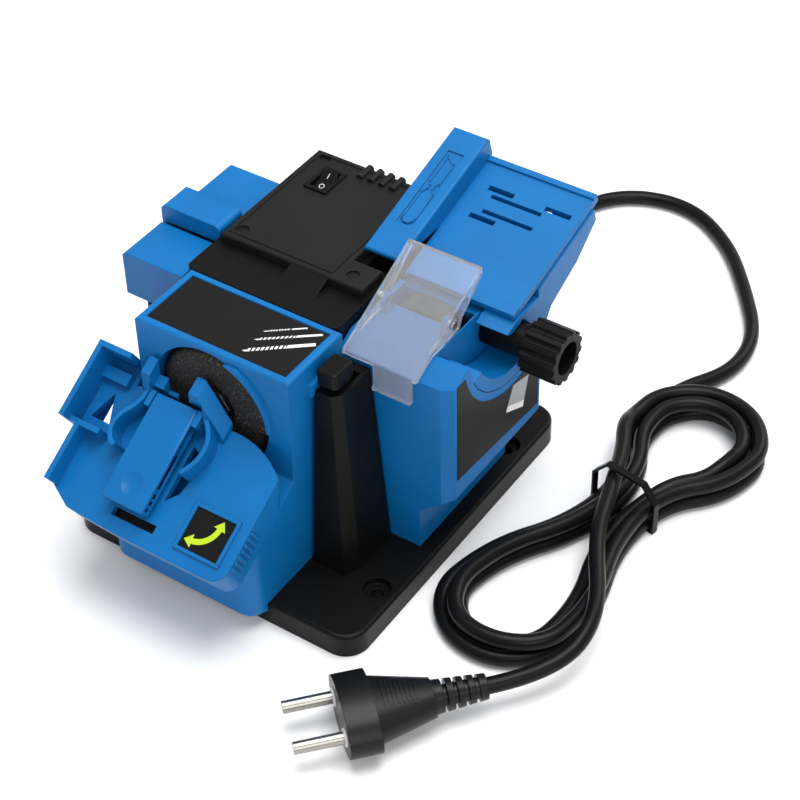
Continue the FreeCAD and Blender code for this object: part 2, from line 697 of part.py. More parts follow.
def make_guard():
    side = [(guard_front_y, guard_front_z - 2.0), (guard_front_y, guard_front_z),
            (guard_back_y, guard_back_z), (guard_back_y, guard_back_z - 3),
            (guard_pivot_y + 5.5, guard_pivot_z + 1), (guard_pivot_y + 3, guard_pivot_z - 3),
            (guard_pivot_y - 3, guard_pivot_z - 4), (chisel_bevel_y + 0.5, chisel_top + 0.7),
            (chisel_y0 - 0.4, chisel_bevel_z + 0.25)]
    shell = prism_x(side, guard_x0, guard_x1)
    drop = guard_wall * 1.15
    inner = [(guard_front_y + guard_wall, 60), (guard_front_y + guard_wall, guard_front_z - drop),
             (guard_back_y + 9, guard_back_z - drop + 9 * 0.482), (guard_back_y + 9, 60)]
    shell = shell.cut(prism_x(inner, guard_x0 + guard_wall, guard_x1 - guard_wall))
    flange_x0, flange_x1 = post_x1 + 1.6, guard_x1 - 2.3
    flange = box(flange_x0, flange_x1, guard_front_y, guard_front_y + guard_wall,
                 guard_flange_z, guard_front_z - 0.5)
    hook = box(flange_x0, flange_x1, guard_front_y - 1.0, guard_front_y + guard_wall, guard_flange_z,
               guard_flange_z + guard_wall)
    guard = fuse([shell, flange, hook])
    save("guard", guard.cut(cyl_x(guard_pin_r + run_gap, 0, beyond, guard_pivot_y, guard_pivot_z)))


# Table slope: local y up the slope from the table's front edge, z square to it
table_place = FreeCAD.Placement(V(0, table_y, table_z), FreeCAD.Rotation(V(1, 0, 0), table_slope))


def on_table(shape):
    out = shape.copy()
    out.Placement = table_place.multiply(out.Placement)
    return out


def make_table():
    gap = slide_gap
    disc = cyl_x(tilt_r, chisel_cheek_x + 0.4, chisel_x1, tilt_y, tilt_z)
    disc = disc.cut(box(0, beyond, -beyond, beyond, chisel_top + 0.2, beyond))
    outer = cyl_x(kidney_out, 0, beyond, tilt_y, tilt_z)
    ring = outer.cut(cyl_x(kidney_in, 0, beyond, tilt_y, tilt_z))
    a0, a1 = math.radians(kidney_from), math.radians(kidney_to)
    wedge = [(tilt_y, tilt_z)] + [(tilt_y + beyond * math.cos(a), tilt_z + beyond * math.sin(a))
                                  for a in (a0, (a0 + a1) / 2, a1)]
    kidney = ring.common(prism_x(wedge, 0, beyond))
    under = -table_t - gap
    disc = disc.cut(on_table(box(0, beyond, -beyond, beyond, under, beyond)))
    arm = on_table(prism_x([(-3, -4.5), (26, under), (58, under), (58, under - 6), (42, under - 13),
                            (24, under - 16), (6, -24), (-4, -14)], chisel_cheek_x + 0.4, chisel_x1))
    arm = arm.cut(outer.common(box(0, beyond, -beyond, tilt_y + 17, -beyond, beyond)))
    rail = on_table(box(rail_x0, chisel_x1, rail_y, rail_y + rail_w, under - rail_t, under))
    support = fuse([disc.cut(kidney), arm, rail])
    save("table_support", support.cut(cyl_x(stem_r + 0.6, 0, beyond, knob_y, knob_z)))
    plate = box(table_left - fence_w, table_right, 0, table_len, -table_t, 0)
    lip = box(table_left, table_right, table_len - 2.5, table_len, 0, 1.0)
    near, far = rail_y - gap, rail_y + rail_w + gap
    grip_z = under - rail_t - gap
    low = grip_z - hook_lip_t
    hooks = [box(hook_x0, hook_x1, near - hook_t, near, low, -table_t),
             box(hook_x0, hook_x1, far, far + hook_t, low, -table_t),
             box(hook_x0, hook_x1, near - hook_t, rail_y + hook_lip, low, grip_z),
             box(hook_x0, hook_x1, rail_y + rail_w - hook_lip, far + hook_t, low, grip_z)]
    plate = fuse([plate, lip] + hooks)
    slots = [(38, 60, 44.3, 46.0), (38.4, 60.4, 36.8, 38.5), (34.8, 46, 47.4, 49.6), (59.8, 71, 47.4, 49.6),
             (34.8, 46, 33.0, 35.2)]
    plate = cut(plate, *[box(a, b, c, d, -20, 2) for a, b, c, d in slots])
    clear = box(-beyond, table_left, -beyond, beyond, 0, motor_top + cover_t + 0.8)
    save("table_plate", on_table(plate).cut(clear))
    fence = box(table_left - fence_w, table_left, -1.5, table_len + 1.5, 0, fence_h)
    fence = fillet_where(fence, 1.0, lambda e: e.BoundBox.ZMin > fence_h - 0.01)
    outline = box(table_left - 11.5, table_left - 4.5, 14, 52, fence_h - 0.6, fence_h)
    save("fence", on_table(fence.cut(outline)).cut(clear))
    stem = cyl_x(stem_r, chisel_cheek_x + 0.5, knob_x0, knob_y, knob_z)
    grip = cyl_x(knob_r, knob_x0, knob_x1, knob_y, knob_z)
    flutes = []
    for i in range(knob_flutes):
        a = 2 * math.pi * i / knob_flutes
        reach = knob_r + 0.3
        flutes.append(cyl_x(knob_flute_r, knob_x0 - 1, knob_x1 + 1,
                            knob_y + reach * math.cos(a), knob_z + reach * math.sin(a)))
    grip = grip.cut(flutes).cut(cyl_x(knob_r - 4, knob_x1 - knob_dish, knob_x1, knob_y, knob_z))
    screw = cyl_x(screw_r - run_gap, chisel_cheek_x - wall - screw_in, chisel_cheek_x + screw_out,
                  knob_y, knob_z)
    save("clamp_knob", fuse([stem, grip]).cut(screw))
    save("clamp_screw", screw)


def wheel(r, y0, thick, x, z, recess_r, rim, recess_front):
    """Grinding wheel with rounded rims and a sunk seat for its nut."""
    body = cyl_y(r, y0, y0 + thick, x, z)
    body = fillet_where(body, rim, lambda e: e.Curve.TypeId == "Part::GeomCircle")
    seat = y0 if recess_front else y0 + thick - nut_t
    body = body.cut(cyl_y(recess_r, seat, seat + nut_t, x, z))
    return body.cut(cyl_y(shaft_r, y0, y0 + thick, x, z))


def nut(y0, x, z):
    points = [(nut_r * math.cos(math.pi * i / 3), nut_r * math.sin(math.pi * i / 3)) for i in range(6)]
    body = prism([V(x + a, y0, z + b) for a, b in points], V(0, nut_t, 0))
    return body.cut(cyl_y(shaft_r, y0, y0 + nut_t, x, z))


def pulley(y0, y1, x, z, belts):
    body = cyl_y(pulley_flange_r, y0, y1, x, z)
    half = belt_w / 2 + belt_side
    for y in belts:
        body = body.cut(ring_y(pulley_flange_r, pulley_r, y - half, y + half, x, z))
    return body.cut(cyl_y(shaft_r, y0, y1, x, z))


def ring_y(r_out, r_in, y0, y1, x, z):
    return cyl_y(r_out, y0, y1, x, z).cut(cyl_y(r_in, y0, y1, x, z))


def belt(y, ends):
    """Flat loop round two equal pulleys at (x, z) ends."""
    (xa, za), (xb, zb) = ends
    run = V(xb - xa, 0, zb - za)
    side = V(-run.z, 0, run.x).normalize()

    def loop(r):
        corners = [V(xa, y - belt_w / 2, za) + side * r, V(xb, y - belt_w / 2, zb) + side * r,
                   V(xb, y - belt_w / 2, zb) - side * r, V(xa, y - belt_w / 2, za) - side * r]
        flat = prism(corners, V(0, belt_w, 0))
        return fuse([flat] + [cyl_y(r, y - belt_w / 2, y + belt_w / 2, a, b) for a, b in ends])
    inner = pulley_r + belt_gap
    return loop(inner + belt_t).cut(loop(inner))


def make_drive():
    edge = belt_w / 2 + belt_side + pulley_flange_t
    x, z = axis_x, axis_z
    front = stator_y0 - coil_t - bracket_t - bracket_space
    rear = stator_y1 + coil_t + bracket_space
    save("motor_shaft", cyl_y(shaft_r, drill_wheel_y + 1, rear + bracket_t + 4, x, z))
    save("drill_wheel", wheel(wheel_r, drill_wheel_y, drill_wheel_t, x, z, nut_recess_r, wheel_rim_r, True))
    save("drill_wheel_nut", nut(drill_wheel_y, x, z))
    save("drive_pulley", pulley(belt_knife_y - edge, belt_chisel_y + edge, x, z,
                                (belt_knife_y, belt_chisel_y)))
    save("rotor_core", ring_y(stator_bore_r - air_gap, shaft_r, stator_y0, stator_y1, x, z))
    save("stator_stack", ring_y(stator_r, stator_bore_r, stator_y0, stator_y1, x, z))
    save("stator_coils", Part.makeCompound([ring_y(coil_r, stator_bore_r + 1, y, y + coil_t, x, z)
                                            for y in (stator_y0 - coil_t, stator_y1)]))
    plates = []
    for y in (front, rear):
        plate = box(x - bracket_w / 2, x + bracket_w / 2, y, y + bracket_t,
                    base_t, z + bearing_r + bracket_head)
        plates.append(plate.cut(cyl_y(bearing_r, y, y + bracket_t, x, z)))
    save("motor_brackets", Part.makeCompound(plates))
    save("motor_bearings", Part.makeCompound([ring_y(bearing_r, shaft_r + run_gap, y, y + bracket_t, x, z)
                                              for y in (front, rear)]))
    cradle = box(x - cradle_w / 2, x + cradle_w / 2, stator_y0, stator_y1, base_t, z - cradle_drop)
    save("motor_cradle", cradle.cut(cyl_y(stator_r, stator_y0, stator_y1, x, z)))
    x = knife_axis_x
    slot0 = knife_wheel_y - knife_slot
    slot1 = knife_wheel_y + knife_wheel_t + knife_slot
    save("knife_shaft", cyl_y(shaft_r, belt_knife_y - edge, slot1 + bearing_w + 1, x, z))
    save("knife_wheel", wheel(knife_wheel_r, knife_wheel_y, knife_wheel_t, x, z,
                              small_recess_r, small_rim_r, False))
    save("knife_wheel_nut", nut(knife_wheel_y + knife_wheel_t - nut_t, x, z))
    save("knife_pulley", pulley(belt_knife_y - edge, belt_knife_y + edge, x, z, (belt_knife_y,)))
    save("knife_bearings", Part.makeCompound([ring_y(bearing_r, shaft_r + run_gap, y, y + bearing_w, x, z)
                                              for y in (slot0 - bearing_w, slot1)]))
    save("knife_belt", belt(belt_knife_y, ((x, z), (axis_x, axis_z))))
    x, z = chisel_axis_x, chisel_axis_z
    first = chisel_y0 + wall
    second = chisel_wheel_y - bearing_w - chisel_bearing_gap
    save("chisel_shaft", cyl_y(shaft_r, first, chisel_wheel_y + chisel_wheel_t, x, z))
    save("chisel_wheel", wheel(chisel_wheel_r, chisel_wheel_y, chisel_wheel_t, x, z,
                               small_recess_r, small_rim_r, False))
    save("chisel_wheel_nut", nut(chisel_wheel_y + chisel_wheel_t - nut_t, x, z))
    save("chisel_pulley", pulley(belt_chisel_y - edge, belt_chisel_y + edge, x, z, (belt_chisel_y,)))
    save("chisel_bearings", Part.makeCompound([ring_y(bearing_r, shaft_r + run_gap, y, y + bearing_w, x, z)
                                               for y in (first, second)]))
    save("chisel_belt", belt(belt_chisel_y, ((axis_x, axis_z), (x, z))))


def make_post():
    y1 = motor_y0 - 0.5
    spread = post_spread
    wide = post_x1 + spread
    foot = Part.makePolygon([V(post_x0, y1, base_t), V(post_x0, post_y0 - spread, base_t),
                             V(wide - 3, post_y0 - spread, base_t), V(wide, post_y0, base_t),
                             V(wide, y1, base_t), V(post_x0, y1, base_t)])
    head = Part.makePolygon([V(post_x0, y1, post_top), V(post_x0, post_y0, post_top),
                             V(post_x1 - 3, post_y0, post_top), V(post_x1, post_y0 + 3, post_top),
                             V(post_x1, y1, post_top), V(post_x0, y1, post_top)])
    post = Part.makeLoft([foot, head], True, True)
    post = post.cut(box(chisel_x0 - 0.5, beyond, chisel_y0 - 0.3, beyond, 0, beyond))
    room = box(post_x0 + 1.6, post_x1 - 1.6, post_y0 + 4, y1 - 4, post_top - 14, post_top)
    save("release_post", post.cut(room))
    top = post_top + button_travel + button_t
    button = round_plate(post_x0 + 0.4, post_x1 - 0.8, post_y0, button_back,
                         post_top + button_travel + 0.6, top, 2.0)
    button = fillet_where(button, top_edge_r, lambda e: e.BoundBox.ZMin > top - 0.01)
    stem = box(post_x0 + 2.0, post_x1 - 2.0, post_y0 + 4.4, button_back - 1,
               post_top - 8, post_top + button_travel + 0.8)
    save("release_button", fuse([button, stem]))


# Mains lead: free stretches are straight runs with large arcs, the hank is a tube on biarcs
def tube(path):
    wire = Part.Wire(path)
    first = path[0]
    start = first.valueAt(first.FirstParameter)
    heading = first.tangentAt(first.FirstParameter)
    ring = Part.Wire([Part.makeCircle(cord_r, start, heading)])
    pipe = Part.BRepOffsetAPI.MakePipeShell(wire)
    pipe.add(ring)
    pipe.build()
    pipe.makeSolid()
    shape = pipe.shape()
    share = shape.Volume / (math.pi * cord_r ** 2 * wire.Length)
    print("tube volume share", round(share, 4), "length", round(wire.Length))
    return shape


def route(points):
    """Straight runs joined by arcs as large as the runs allow; prints the arc radii."""
    edges = []
    radii = []
    here = points[0]
    for a, b, c in zip(points, points[1:], points[2:]):
        run = min((b - a).Length, (c - b).Length)
        into = (b - a).normalize()
        out = (c - b).normalize()
        half = into.getAngle(out) / 2
        back = 0.45 * run
        p, q = b - into * back, b + out * back
        radii.append(round(back / math.tan(half)))
        chord = (p + q) * 0.5
        sag = (p - q).Length / 2 * math.tan(half / 2)
        edges.append(Part.makeLine(here, p))
        edges.append(Part.Arc(p, chord + (b - chord).normalize() * sag, q).toShape())
        here = q
    edges.append(Part.makeLine(here, points[-1]))
    print("arc radii", radii)
    return edges


def biarc(p, tp, q, tq):
    """Two tangent arcs from p along tp to q along tq."""
    v = q - p
    t = tp + tq
    k = 2 * (1 - tp.dot(tq))
    vt = v.dot(t)
    d = v.dot(v) / (2 * vt) if k < 1e-6 else (math.sqrt(vt * vt + k * v.dot(v)) - vt) / k
    a, b = p + tp * d, q - tq * d
    mid = (a + b) * 0.5
    return [corner_arc(p, a, mid), corner_arc(mid, b, q)]


def corner_arc(p, corner, q):
    chord = (p + q) * 0.5
    lift = (corner - chord).Length
    half = (q - p).Length / 2
    if lift < 1e-4 * half:
        return Part.makeLine(p, q)
    sag = half * math.tan(math.atan(lift / half) / 2)
    return Part.Arc(p, chord + (corner - chord) * (sag / lift), q).toShape()


lean = math.radians(hank_lean)
hank_along = V(math.sin(lean), math.cos(lean), 0)
hank_across = V(math.cos(lean), -math.sin(lean), 0)


def hank_point(s, t, z):
    return hank_origin + hank_along * s + hank_across * t + V(0, 0, z)


def bend(end, inset, side):
    """Point and heading where a strand turns from the waist to a lobe, offset squarely by its inset."""
    reach = hank_far if end > 0 else hank_near
    rise = hank_lobe - hank_waist - hank_step
    angle = 2 * math.atan(rise / reach)
    offset = hank_step * inset
    s = end * (reach / 2 + offset * math.sin(angle))
    t = side * (hank_waist + hank_step + rise / 2 - offset * math.cos(angle))
    return s, t, (end * math.cos(angle), side * math.sin(angle))


def hank_stations():
    """Stations of the tied hank: (along, across, height, heading) down the left and up the right."""
    low = cord_r + floor_gap
    high = low + hank_layer
    down, right, up, left = (-1, 0), (0, 1), (1, 0), (0, -1)
    stations = [(hank_far, -hank_lobe, low, down)]
    # each loop: inset and height down the left, inset up the right, height at the right waist and far end
    loops = [(0, low, 0, low, low), (1, low, 1, low, high), (1, high, 0, high, high)]
    for i, (inset, z, inset_r, z_waist, z_far) in enumerate(loops):
        lobe = hank_lobe - hank_step * inset
        lobe_r = hank_lobe - hank_step * inset_r
        s, t, heading = bend(1, inset, -1)
        stations.append((s, t, z, (-heading[0], -heading[1])))
        stations.append((0, -hank_waist - hank_step * (1 - inset), z, down))
        s, t, heading = bend(-1, inset, -1)
        stations.append((s, t, z, heading))
        stations.append((-hank_near, -lobe, z, down))
        stations.append((-hank_near - (lobe + lobe_r) / 2, 0, z, right))
        stations.append((-hank_near, lobe_r, z, up))
        s, t, heading = bend(-1, inset_r, 1)
        stations.append((s, t, z, (-heading[0], -heading[1])))
        stations.append((0, hank_waist + hank_step * (1 - inset_r), z_waist, up))
        s, t, heading = bend(1, inset_r, 1)
        stations.append((s, t, (z_waist + z_far) / 2, heading))
        stations.append((hank_far, lobe_r, z_far, up))
        following = hank_lobe - hank_step * (loops[i + 1][0] if i + 1 < len(loops) else 0)
        stations.append((hank_far + (lobe_r + following) / 2, 0, z_far, left))
        stations.append((hank_far, -following, z_far, down))
    s, t, heading = bend(1, 0, -1)
    stations.append((s, t, high + hank_layer * 0.8, (-heading[0], -heading[1])))
    stations.append((hank_end_s, hank_end_t, high + hank_layer, hank_end_heading))
    return stations


def tie_band():
    """Flat band drawn round the waist of the hank: wide below, narrow over the top strand."""
    side = hank_waist + hank_step + cord_r + tie_gap
    shoulder = 2 * hank_layer + tie_gap
    peak = 3 * hank_layer + floor_gap + tie_gap

    def ring(t):
        outline = [(-side - t, floor_gap / 2), (side + t, floor_gap / 2), (side + t, shoulder + t / 2),
                   (tie_top + t / 2, peak + t), (-tie_top - t / 2, peak + t), (-side - t, shoulder + t / 2)]
        return prism([V(x, -tie_w / 2, z) for x, z in outline], V(0, tie_w, 0))
    band = ring(tie_t).cut(ring(0).common(box(-side, side, -tie_w, tie_w, floor_gap, 2 * peak)))
    band.Placement = FreeCAD.Placement(hank_point(tie_s, 0, 0), FreeCAD.Rotation(V(0, 0, 1), -hank_lean))
    return band


def make_cord():
    path = []
    stations = hank_stations()
    heads = [(hank_along * a + hank_across * b).normalize() for s, t, z, (a, b) in stations]
    points = [hank_point(s, t, z) for s, t, z, heading in stations]
    start = points[0] - heads[0] * cord_d
    end = points[-1] + heads[-1] * cord_d
    path.append(Part.makeLine(start, points[0]))
    for p, tp, q, tq in zip(points, heads, points[1:], heads[1:]):
        path += biarc(p, tp, q, tq)
    path.append(Part.makeLine(points[-1], end))
    wire = Part.Wire(path)
    samples = wire.discretize(Number=900)
    step = wire.Length / 899
    skip = int(2.2 * cord_d / step)
    gap = min((samples[i] - samples[j]).Length for i in range(900) for j in range(i + skip, 900)) - cord_d
    print("hank least gap", round(gap, 2))
    save("cord_hank", tube(path))
    floor = cord_r + floor_gap
    lead = [V(gland_x, motor_y1 + gland_len, gland_z), V(gland_x, 118, gland_z), V(gland_x, 146, 13.5),
            V(-7, 172, 4.4), V(-3, 202, floor), V(12, 228, floor), V(42, 236, floor),
            V(70, 220, floor), V(92, 194, floor), V(110, 168, floor), V(112, 142.5, floor),
            start - heads[0] * 18, start]
    save("cord_lead", tube(route(lead)))
    tail = [end, end + heads[-1] * 20, plug_start - plug_dir * 26 + V(3.2, 25.7, 6.6),
            plug_start - plug_dir * 26, plug_start]
    save("cord_tail", tube(route(tail)))
    save("cord_tie", tie_band())


def make_plug():
    angle = math.degrees(math.atan2(plug_dir.y, plug_dir.x))
    place = FreeCAD.Placement(plug_start, FreeCAD.Rotation(V(0, 0, 1), angle))
    def ellipse(x, a, b):
        curve = Part.Ellipse(V(0, 0, 0), a, b)
        wire = Part.Wire([curve.toShape()])
        wire.Placement = FreeCAD.Placement(V(x, 0, 0), FreeCAD.Rotation(V(1, 1, 1), 120))
        return wire
    grip = Part.makeCone(4.8, 6.5, plug_grip, V(0, 0, 0), V(1, 0, 0))
    for i in range(4):
        x = 3 + 4 * i
        grip = grip.cut(cyl_x(9, x, x + 1.6, 0, 0).cut(cyl_x(4.0, x, x + 1.6, 0, 0)))
    taper = Part.makeLoft([ellipse(plug_grip, 8.0, 6.6), ellipse(plug_grip + plug_flange_at, 14.5, 9.6)],
                          True, True)
    nose = plug_grip + plug_body_len
    ends = [ellipse(x, plug_flange_half_w, plug_flange_half_h) for x in (plug_grip + plug_flange_at, nose)]
    flange = Part.makeLoft(ends, True, True)
    body = fuse([grip, taper, flange])
    pins = []
    for side in (-1, 1):
        y = side * plug_pin_pitch / 2
        body = body.cut(cyl_x(plug_pin_r, nose - plug_pin_in, nose, y, 0))
        pins.append(cyl_x(plug_pin_r, nose - plug_pin_in, nose + plug_pin_len, y, 0))
    pins = Part.makeCompound(pins)
    body.Placement = place
    pins.Placement = place
    save("plug_body", body)
    save("plug_pins", pins)
    relief = Part.makeCone(gland_r0, gland_r1, gland_len + wall, V(gland_x, motor_y1 - wall, gland_z),
                           V(0, 1, 0))
    collar = cyl_y(gland_r0 + 2, motor_y1, motor_y1 + 2.5, gland_x, gland_z)
    relief = fuse([relief.common(box(-beyond, beyond, 0, beyond, 0, beyond)), collar])
    for i in range(gland_slots):
        y = motor_y1 + 6 + gland_pitch * i
        relief = relief.cut(ring_y(9, cord_r + 0.6, y, y + gland_slot_w, gland_x, gland_z))
    save("strain_relief", relief)


make_base()
make_drill_housing()
make_head()
make_motor_housing()
make_knife()
make_chisel_housing()
make_guard()
make_table()
make_drive()
make_post()
make_cord()
make_plug()
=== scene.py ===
"""Looks of the bench sharpener: mouldings, labels, wheels, lead and a plain white stage."""
import math

import bmesh
import bpy
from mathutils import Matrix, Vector


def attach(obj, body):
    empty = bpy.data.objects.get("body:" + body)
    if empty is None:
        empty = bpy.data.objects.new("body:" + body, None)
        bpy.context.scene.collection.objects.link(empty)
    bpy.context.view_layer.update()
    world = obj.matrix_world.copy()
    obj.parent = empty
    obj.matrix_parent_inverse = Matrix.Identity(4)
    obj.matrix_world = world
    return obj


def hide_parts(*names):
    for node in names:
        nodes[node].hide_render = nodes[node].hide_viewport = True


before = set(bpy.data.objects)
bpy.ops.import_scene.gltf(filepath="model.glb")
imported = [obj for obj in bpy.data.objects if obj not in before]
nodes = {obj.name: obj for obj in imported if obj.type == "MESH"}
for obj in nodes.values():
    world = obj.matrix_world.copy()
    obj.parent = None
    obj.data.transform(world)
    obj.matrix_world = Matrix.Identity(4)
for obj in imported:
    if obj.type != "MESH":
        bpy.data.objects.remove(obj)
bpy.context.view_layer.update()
MM = 0.001


# Materials
class Shader:
    """A small helper that adds nodes to one material and links them."""

    def __init__(self, name):
        self.material = bpy.data.materials.new(name)
        self.material.use_nodes = True
        self.tree = self.material.node_tree
        self.bsdf = self.tree.nodes["Principled BSDF"]

    def add(self, kind, **values):
        node = self.tree.nodes.new(kind)
        for key, value in values.items():
            node.inputs[key.replace("_", " ")].default_value = value
        return node

    def link(self, source, target):
        self.tree.links.new(source, target)

    def set(self, **values):
        for key, value in values.items():
            self.bsdf.inputs[key.replace("_", " ")].default_value = value

    def noise(self, scale, detail=3.0, stretch=None):
        """Noise in the object's own coordinates, in cycles per metre."""
        place = self.tree.nodes.new("ShaderNodeTexCoord")
        noise = self.add("ShaderNodeTexNoise", Scale=scale, Detail=detail)
        source = place.outputs["Object"]
        if stretch:
            mapping = self.add("ShaderNodeMapping", Scale=stretch)
            self.link(source, mapping.inputs["Vector"])
            source = mapping.outputs["Vector"]
        self.link(source, noise.inputs["Vector"])
        return noise.outputs["Fac"]

    def ramp(self, factor, stops):
        ramp = self.tree.nodes.new("ShaderNodeValToRGB")
        elements = ramp.color_ramp.elements
        while len(elements) < len(stops):
            elements.new(0.5)
        for element, (place, colour) in zip(elements, stops):
            element.position = place
            element.color = (*colour, 1.0)
        self.link(factor, ramp.inputs["Fac"])
        return ramp.outputs["Color"]

    def spread(self, factor, low, high):
        """Factor turned into a number between low and high."""
        spread = self.add("ShaderNodeMapRange", To_Min=low, To_Max=high)
        self.link(factor, spread.inputs["Value"])
        return spread.outputs["Result"]

    def relief(self, height, depth, strength, edge=0.0):
        bump = self.add("ShaderNodeBump", Strength=strength, Distance=depth)
        self.link(height, bump.inputs["Height"])
        if edge:
            bevel = self.add("ShaderNodeBevel", Radius=edge)
            bevel.samples = 4
            self.link(bevel.outputs["Normal"], bump.inputs["Normal"])
        self.link(bump.outputs["Normal"], self.bsdf.inputs["Normal"])


def shade(colour, factor):
    return tuple(min(1.0, c * factor) for c in colour)


def moulding(name, colour, rough, grain=1400.0, depth=0.00006, edge=0.0006, vary=0.08, gloss=0.22):
    """Moulded plastic with a fine grain, uneven sheen and softly rounded edges."""
    s = Shader(name)
    tone = s.ramp(s.noise(35.0, 4.0), [(0.3, shade(colour, 1 - vary)), (0.7, shade(colour, 1 + vary))])
    s.link(tone, s.bsdf.inputs["Base Color"])
    s.link(s.spread(s.noise(60.0), rough - 0.06, rough + 0.06), s.bsdf.inputs["Roughness"])
    s.set(Specular_IOR_Level=gloss)
    s.relief(s.noise(grain, 2.0), depth, 0.35, edge)
    return s.material


def printed(name, colour, rough, vary):
    """Smooth print of a label."""
    return moulding(name, colour, rough, grain=300.0, depth=0.00001, edge=0.0, vary=vary)


def metal(name, colour, rough, stretch):
    """Bare metal with fine lines, whose spacing is stretched along the three axes."""
    s = Shader(name)
    lines = s.noise(900.0, 4.0, stretch)
    s.link(s.ramp(lines, [(0.3, shade(colour, 0.82)), (0.7, colour)]), s.bsdf.inputs["Base Color"])
    s.set(Metallic=1.0)
    s.link(s.spread(lines, rough, rough + 0.15), s.bsdf.inputs["Roughness"])
    s.relief(lines, 0.00002, 0.2, 0.0003)
    return s.material


def grit(name):
    """Dark bonded abrasive with bright specks."""
    s = Shader(name)
    cells = s.add("ShaderNodeTexVoronoi", Scale=2200.0)
    place = s.tree.nodes.new("ShaderNodeTexCoord")
    s.link(place.outputs["Object"], cells.inputs["Vector"])
    specks = s.ramp(cells.outputs["Color"], [(0.0, (0.005, 0.005, 0.005)), (0.8, (0.014, 0.013, 0.011)),
                                             (0.97, (0.2, 0.18, 0.13))])
    s.link(specks, s.bsdf.inputs["Base Color"])
    s.link(s.spread(cells.outputs["Distance"], 0.4, 0.75), s.bsdf.inputs["Roughness"])
    s.set(Specular_IOR_Level=0.3)
    s.relief(cells.outputs["Distance"], 0.0002, 0.6)
    return s.material


def clear(name):
    """Clear moulding, a little uneven so that it catches the light."""
    s = Shader(name)
    wave = s.noise(18.0)
    s.link(s.ramp(wave, [(0.3, (0.93, 0.95, 0.96)), (0.7, (0.98, 0.99, 1.0))]), s.bsdf.inputs["Base Color"])
    s.link(s.spread(wave, 0.03, 0.07), s.bsdf.inputs["Roughness"])
    s.set(Transmission_Weight=0.88, IOR=1.3)
    s.relief(wave, 0.0002, 0.08, 0.0004)
    return s.material


BLUE = moulding("blue moulding", (0.0015, 0.128, 0.37), 0.4)
BLACK = moulding("black moulding", (0.0038, 0.0038, 0.0036), 0.36, vary=0.15, gloss=0.12)
COVER = moulding("grained black moulding", (0.008, 0.008, 0.0078), 0.5, 900.0, 0.00012, vary=0.15,
                 gloss=0.17)
RUBBER = moulding("matt rubber", (0.008, 0.008, 0.008), 0.7, 500.0, vary=0.2)
SHEATH = moulding("cord sheath", (0.004, 0.004, 0.004), 0.34, 700.0, 0.00003, edge=0.0, vary=0.15,
                  gloss=0.14)
PLUG = moulding("plug moulding", (0.006, 0.006, 0.006), 0.34, 800.0, vary=0.15)
STEEL = metal("turned steel", (0.56, 0.56, 0.57), 0.22, (1.0, 6.0, 1.0))
# Plug pins: plated metal whose colour is darkened and tinted olive as a painted dark reflection
PIN_METAL_DARKENED = metal("plated pins", (0.36, 0.35, 0.31), 0.2, (4.0, 4.0, 1.0))
ALLOY = metal("alloy", (0.66, 0.66, 0.68), 0.3, (1.0, 6.0, 1.0))
DARK = metal("blackened steel", (0.03, 0.03, 0.03), 0.35, (1.0, 6.0, 1.0))
COPPER = metal("enamelled wire", (0.5, 0.2, 0.07), 0.3, (1.0, 8.0, 1.0))
GRIT = grit("abrasive")
CLEAR = clear("clear moulding")
LABEL = printed("label black", (0.004, 0.004, 0.004), 0.34, 0.1)
LIME = printed("label green", (0.44, 0.62, 0.02), 0.4, 0.06)
PALE = printed("label white", (0.75, 0.75, 0.74), 0.4, 0.05)
GREY = printed("label grey", (0.33, 0.34, 0.35), 0.35, 0.2)

wear = {
    "drill_housing swivel_head clamp_lever drill_jaws knife_housing knife_roof chisel_housing "
    "table_support table_plate fence": BLUE,
    "base_plate release_post release_button clamp_knob switch_frame power_rocker strain_relief cord_tie "
    "motor_housing": BLACK,
    "top_cover": COVER,
    "bench_pads knife_belt chisel_belt": RUBBER,
    "cord_lead cord_hank cord_tail": SHEATH,
    "plug_body": PLUG,
    "plug_pins": PIN_METAL_DARKENED,
    "guard": CLEAR,
    "drill_wheel knife_wheel chisel_wheel": GRIT,
    "drive_pulley knife_pulley chisel_pulley": ALLOY,
    "stator_coils": COPPER,
    "cover_screws": DARK,
}
dress = {name: material for names, material in wear.items() for name in names.split()}
for name, node in nodes.items():
    node.data.materials.clear()
    node.data.materials.append(dress.get(name, STEEL))
    node.data.shade_smooth()
    node.data.set_sharp_from_angle(angle=math.radians(28))


# Mains lead: the route of the source in metres, as control points of one smooth spline
CORD_D = 6.4
FLOOR = CORD_D / 2 + 0.2
ORIGIN = Vector((113.0, 46.0, 0.0))
LEAN = math.radians(8.8)
ALONG = Vector((math.sin(LEAN), math.cos(LEAN), 0.0))
ACROSS = Vector((math.cos(LEAN), -math.sin(LEAN), 0.0))
STEP = 7.05
LAYER = 7.0
LOBE = 26.2
NEAR = 68.0
FAR = 47.0
WAIST = 3.6
PLUG_START = Vector((119.0, -65.0, 11.0))
PLUG_DIR = Vector((-0.67, -0.745, 0.0))


def bend(end, inset, side):
    """Place and heading where a strand turns from the waist to a lobe, offset by its inset."""
    reach = FAR if end > 0 else NEAR
    rise = LOBE - WAIST - STEP
    angle = 2 * math.atan(rise / reach)
    offset = STEP * inset
    s = end * (reach / 2 + offset * math.sin(angle))
    t = side * (WAIST + STEP + rise / 2 - offset * math.cos(angle))
    return s, t, (end * math.cos(angle), side * math.sin(angle))


